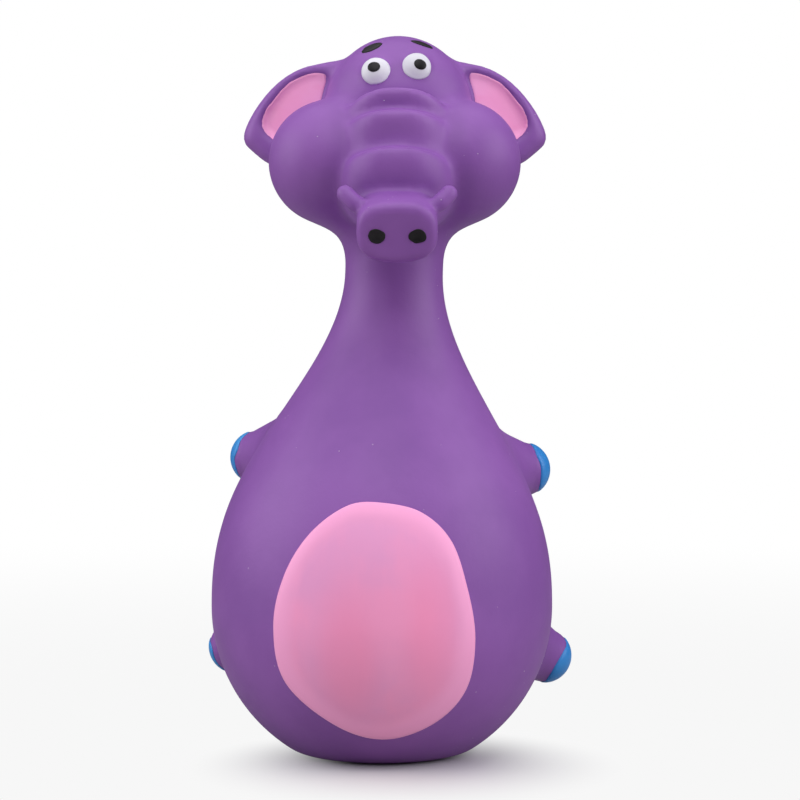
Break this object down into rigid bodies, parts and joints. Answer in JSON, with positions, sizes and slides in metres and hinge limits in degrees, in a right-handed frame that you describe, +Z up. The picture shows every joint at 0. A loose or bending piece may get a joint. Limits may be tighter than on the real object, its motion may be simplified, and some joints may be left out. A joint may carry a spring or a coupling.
{
  "type": "squeaky dog toy",
  "caption": "Soft moulded latex squeaky dog toy shaped as a seated round-bellied elephant with a long neck, fibre filled, with a bellows squeaker in its base.",
  "frame": {"origin": "centre of the flat base on the floor, on the body's axis", "axes": "+Z up; the toy faces -Y, so its own left side is +X"},
  "size_m": [0.108, 0.096, 0.2],
  "materials": {
    "purple_latex": "satin matte natural latex",
    "pink_latex": "satin brushed latex paint",
    "white_latex": "satin latex paint",
    "black_latex": "satin latex paint",
    "blue_latex": "satin latex paint",
    "fibre": "loose white polyester fibre",
    "squeaker_plastic": "natural polyethylene",
    "reed_film": "thin polyester film"
  },
  "bodies": {
    "toy": {"latex_skin": "purple_latex", "belly_patch": "pink_latex", "ear_lining_left": "pink_latex", "ear_lining_right": "pink_latex", "eye_white_left": "white_latex", "eye_white_right": "white_latex", "pupil_left": "black_latex", "pupil_right": "black_latex", "brow_left": "black_latex", "brow_right": "black_latex", "nostril_left": "black_latex", "nostril_right": "black_latex", "hoof_front_left": "blue_latex", "hoof_front_right": "blue_latex", "hoof_rear_left": "blue_latex", "hoof_rear_right": "blue_latex", "fibre_fill": "fibre", "squeaker_plug": "squeaker_plastic", "reed_sleeve": "squeaker_plastic", "reed_block": "squeaker_plastic", "reed_wedge": "squeaker_plastic", "squeaker_bellows": "squeaker_plastic"},
    "crown": {"bellows_crown": "squeaker_plastic"},
    "reed": {"reed_tongue": "reed_film"}
  },
  "joints": [
    {"name": "squeeze", "type": "slide", "parent": "toy", "child": "crown", "axis": [0, 0, -1], "range_m": [0, 0.014], "stiffness_N_per_m": 300, "deforming": ["squeaker_bellows"]},
    {"name": "reed_flutter", "type": "hinge", "parent": "toy", "child": "reed", "pos_m": [0, 0.00105, 0.0112], "axis": [1, 0, 0], "range_deg": [-3, 6], "stiffness_Nm_per_rad": 0.00001}
  ]
}
